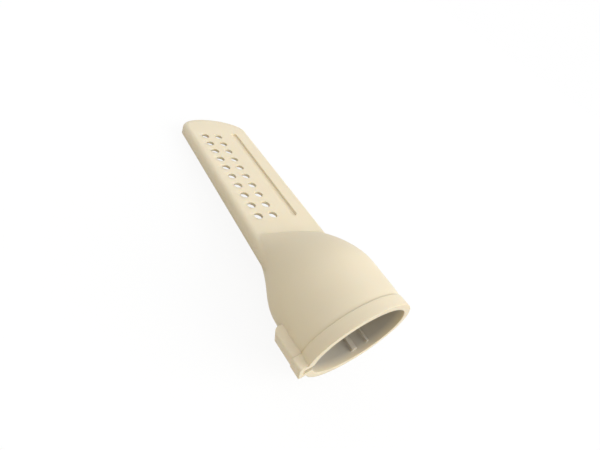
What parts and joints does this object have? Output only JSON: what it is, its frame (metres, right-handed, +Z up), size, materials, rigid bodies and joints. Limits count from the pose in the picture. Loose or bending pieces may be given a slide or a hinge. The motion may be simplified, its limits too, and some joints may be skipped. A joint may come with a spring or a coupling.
{
  "type": "radiator vacuum nozzle",
  "caption": "One-piece beige plastic radiator nozzle: a keyed oval push-on socket that runs into a flat hollow blade with air holes, a groove and a suction window.",
  "frame": {"origin": "middle of the bounding box, on the surface that the nozzle lies on", "axes": "+X towards the blade's tip, +Z up, out of the perforated face"},
  "size_m": [0.1356, 0.0466, 0.0374],
  "materials": {
    "beige_plastic": "satin"
  },
  "bodies": {
    "root": {"nozzle_body": "beige_plastic"}
  },
  "joints": []
}
